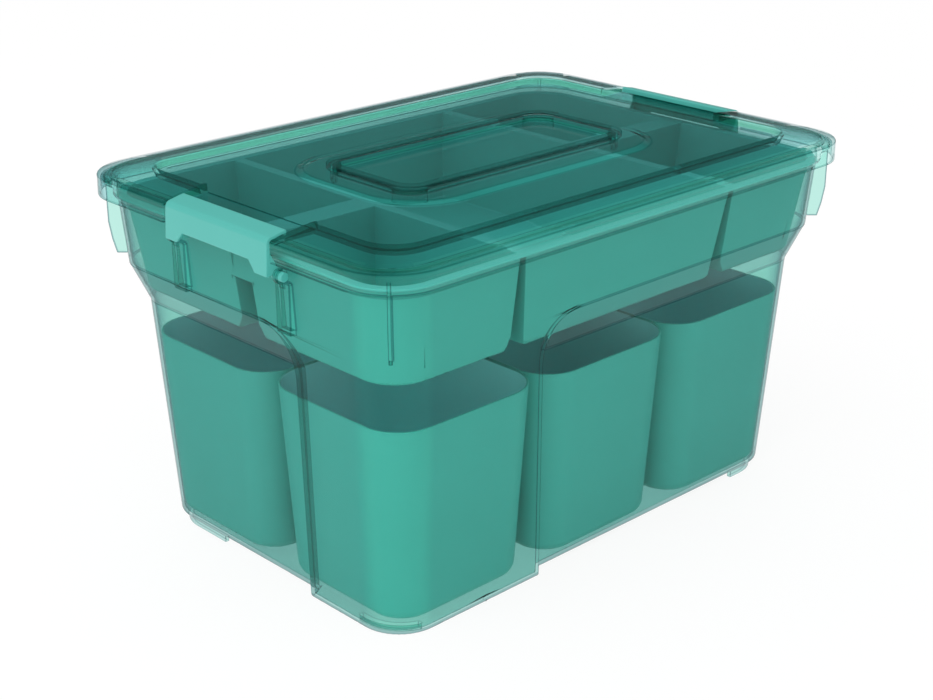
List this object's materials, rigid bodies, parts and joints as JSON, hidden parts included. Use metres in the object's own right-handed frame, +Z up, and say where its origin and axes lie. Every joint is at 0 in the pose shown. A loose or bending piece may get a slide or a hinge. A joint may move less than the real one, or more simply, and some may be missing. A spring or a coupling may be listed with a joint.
{
  "type": "sorting storage container",
  "caption": "Clear teal storage box with a latching lid, a divided lift-out tray and rounded sorting cups that stand on its floor.",
  "frame": {"origin": "centre of the box's footprint, on the plane that the feet stand on", "axes": "+X along the length to the right-hand latch, +Y to the back, +Z up"},
  "size_m": [0.4128, 0.29, 0.2389],
  "materials": {
    "tub_plastic": "clear tinted, smooth",
    "lid_plastic": "clear tinted, smooth",
    "frame_plastic": "clear tinted, smooth",
    "latch_plastic": "opaque, satin",
    "tray_plastic": "opaque, satin",
    "cup_plastic": "opaque, satin"
  },
  "bodies": {
    "container": {"tub": "tub_plastic"},
    "cover": {"lid": "lid_plastic", "lid_frame": "frame_plastic"},
    "left_latch": {"latch_left": "latch_plastic"},
    "right_latch": {"latch_right": "latch_plastic"},
    "tray": {"sorting_tray": "tray_plastic"},
    "cup_front_left_body": {"cup_front_left": "cup_plastic"},
    "cup_front_middle_body": {"cup_front_middle": "cup_plastic"},
    "cup_front_right_body": {"cup_front_right": "cup_plastic"},
    "cup_back_left_body": {"cup_back_left": "cup_plastic"},
    "cup_back_middle_body": {"cup_back_middle": "cup_plastic"},
    "cup_back_right_body": {"cup_back_right": "cup_plastic"}
  },
  "joints": [
    {"name": "lid_lift", "type": "slide", "parent": "container", "child": "cover", "axis": [0, 0, 1], "range_m": [0, 0.3]},
    {"name": "tray_lift", "type": "slide", "parent": "container", "child": "tray", "axis": [0, 0, 1], "range_m": [0, 0.2552]},
    {"name": "latch_left_hinge", "type": "hinge", "parent": "container", "child": "left_latch", "pos_m": [-0.1989, 0, 0.2131], "axis": [0, -1, 0], "range_deg": [0, 95]},
    {"name": "latch_right_hinge", "type": "hinge", "parent": "container", "child": "right_latch", "pos_m": [0.1989, 0, 0.2131], "axis": [0, 1, 0], "range_deg": [0, 95]},
    {"name": "cup_front_left_lift", "type": "slide", "parent": "container", "child": "cup_front_left_body", "axis": [0, 0, 1], "range_m": [0, 0.2342]},
    {"name": "cup_front_middle_lift", "type": "slide", "parent": "container", "child": "cup_front_middle_body", "axis": [0, 0, 1], "range_m": [0, 0.2342]},
    {"name": "cup_front_right_lift", "type": "slide", "parent": "container", "child": "cup_front_right_body", "axis": [0, 0, 1], "range_m": [0, 0.2342]},
    {"name": "cup_back_left_lift", "type": "slide", "parent": "container", "child": "cup_back_left_body", "axis": [0, 0, 1], "range_m": [0, 0.2342]},
    {"name": "cup_back_middle_lift", "type": "slide", "parent": "container", "child": "cup_back_middle_body", "axis": [0, 0, 1], "range_m": [0, 0.2342]},
    {"name": "cup_back_right_lift", "type": "slide", "parent": "container", "child": "cup_back_right_body", "axis": [0, 0, 1], "range_m": [0, 0.2342]}
  ],
  "couplings": [
    {"joint": "tray_lift", "follows": "lid_lift", "ratio": 0.85},
    {"joint": "cup_front_left_lift", "follows": "lid_lift", "ratio": 0.78},
    {"joint": "cup_front_middle_lift", "follows": "lid_lift", "ratio": 0.78},
    {"joint": "cup_front_right_lift", "follows": "lid_lift", "ratio": 0.78},
    {"joint": "cup_back_left_lift", "follows": "lid_lift", "ratio": 0.78},
    {"joint": "cup_back_middle_lift", "follows": "lid_lift", "ratio": 0.78},
    {"joint": "cup_back_right_lift", "follows": "lid_lift", "ratio": 0.78}
  ]
}
